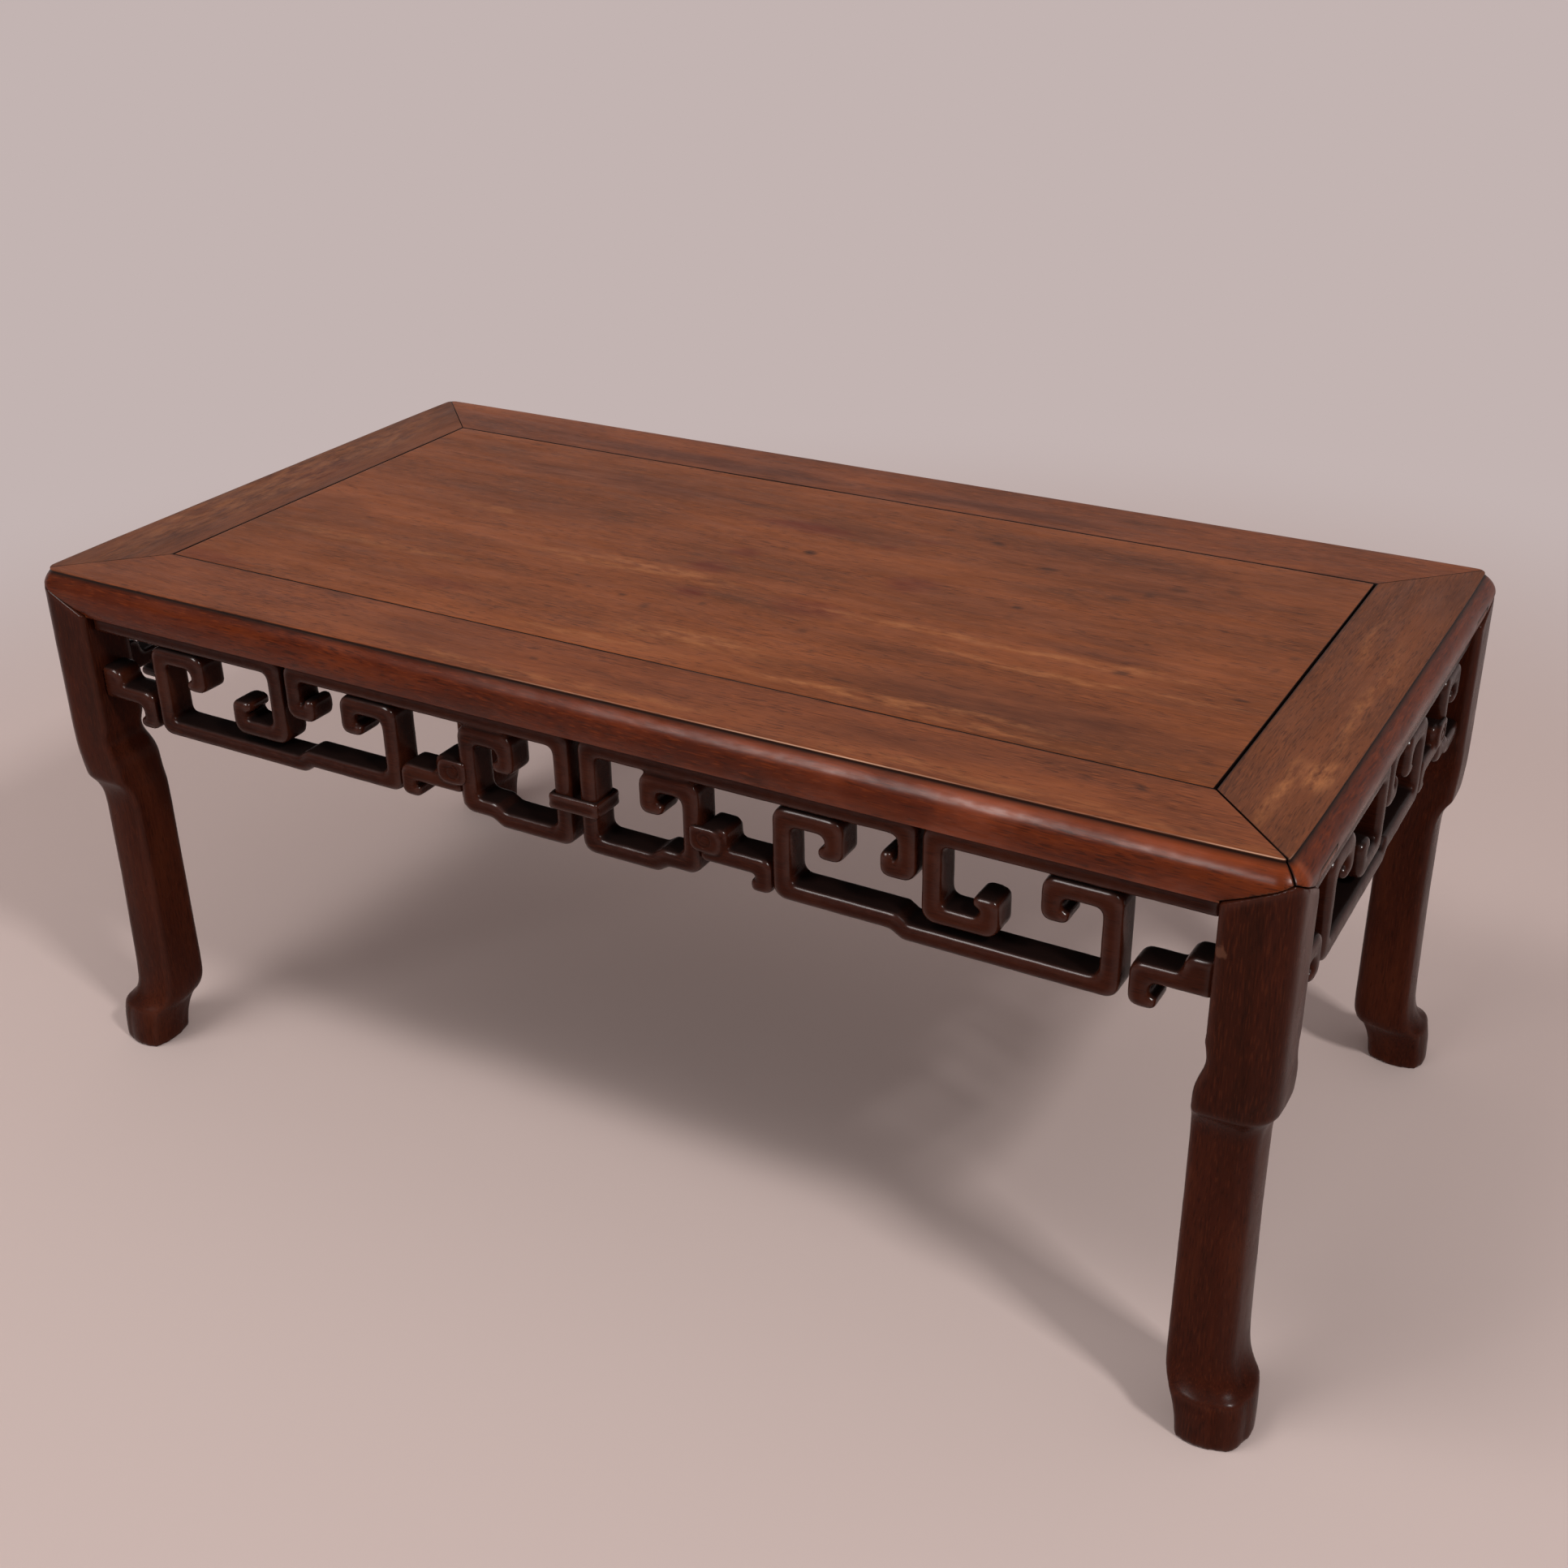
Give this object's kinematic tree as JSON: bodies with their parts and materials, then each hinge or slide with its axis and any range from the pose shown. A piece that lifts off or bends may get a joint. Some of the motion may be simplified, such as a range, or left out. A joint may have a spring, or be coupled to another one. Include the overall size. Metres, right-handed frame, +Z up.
{
  "type": "kang table",
  "caption": "Low hardwood table with a floating panel in a mitred, nosed frame, openwork fret aprons of scrolling bars and slim legs with hoof feet.",
  "frame": {"origin": "on the floor, below the middle of the table top", "axes": "+X along the table's length, +Y from the front to the back, +Z up"},
  "size_m": [0.8512, 0.4472, 0.367],
  "materials": {
    "panel_board": "old oiled hardwood, satin",
    "frame_rails": "old oiled hardwood, polished at the nosing",
    "legs": "dark lacquered hardwood, satin",
    "fret_bars": "dark lacquered hardwood, satin",
    "battens": "unfinished hardwood, dull",
    "pins": "split bamboo, dull"
  },
  "bodies": {
    "root": {"back_centre_ring": "fret_bars", "back_fret_pins": "pins", "back_left_inner_scroll": "fret_bars", "back_left_leg": "legs", "back_left_leg_hook": "fret_bars", "back_left_low_scroll": "fret_bars", "back_left_outer_scroll": "fret_bars", "back_left_roundel_link": "fret_bars", "back_rail": "frame_rails", "back_right_inner_scroll": "fret_bars", "back_right_leg": "legs", "back_right_leg_hook": "fret_bars", "back_right_low_scroll": "fret_bars", "back_right_outer_scroll": "fret_bars", "back_right_roundel_link": "fret_bars", "batten_1": "battens", "batten_2": "battens", "batten_3": "battens", "front_centre_ring": "fret_bars", "front_fret_pins": "pins", "front_left_inner_scroll": "fret_bars", "front_left_leg": "legs", "front_left_leg_hook": "fret_bars", "front_left_low_scroll": "fret_bars", "front_left_outer_scroll": "fret_bars", "front_left_roundel_link": "fret_bars", "front_rail": "frame_rails", "front_right_inner_scroll": "fret_bars", "front_right_leg": "legs", "front_right_leg_hook": "fret_bars", "front_right_low_scroll": "fret_bars", "front_right_outer_scroll": "fret_bars", "front_right_roundel_link": "fret_bars", "left_end_box_scroll": "fret_bars", "left_end_fret_pins": "pins", "left_end_leg_hook": "fret_bars", "left_end_low_scroll": "fret_bars", "left_end_outer_scroll": "fret_bars", "left_end_rail": "frame_rails", "left_end_roundel_link": "fret_bars", "left_end_strip_hook": "fret_bars", "right_end_box_scroll": "fret_bars", "right_end_fret_pins": "pins", "right_end_leg_hook": "fret_bars", "right_end_low_scroll": "fret_bars", "right_end_outer_scroll": "fret_bars", "right_end_rail": "frame_rails", "right_end_roundel_link": "fret_bars", "right_end_strip_hook": "fret_bars", "top_panel": "panel_board"}
  },
  "joints": []
}
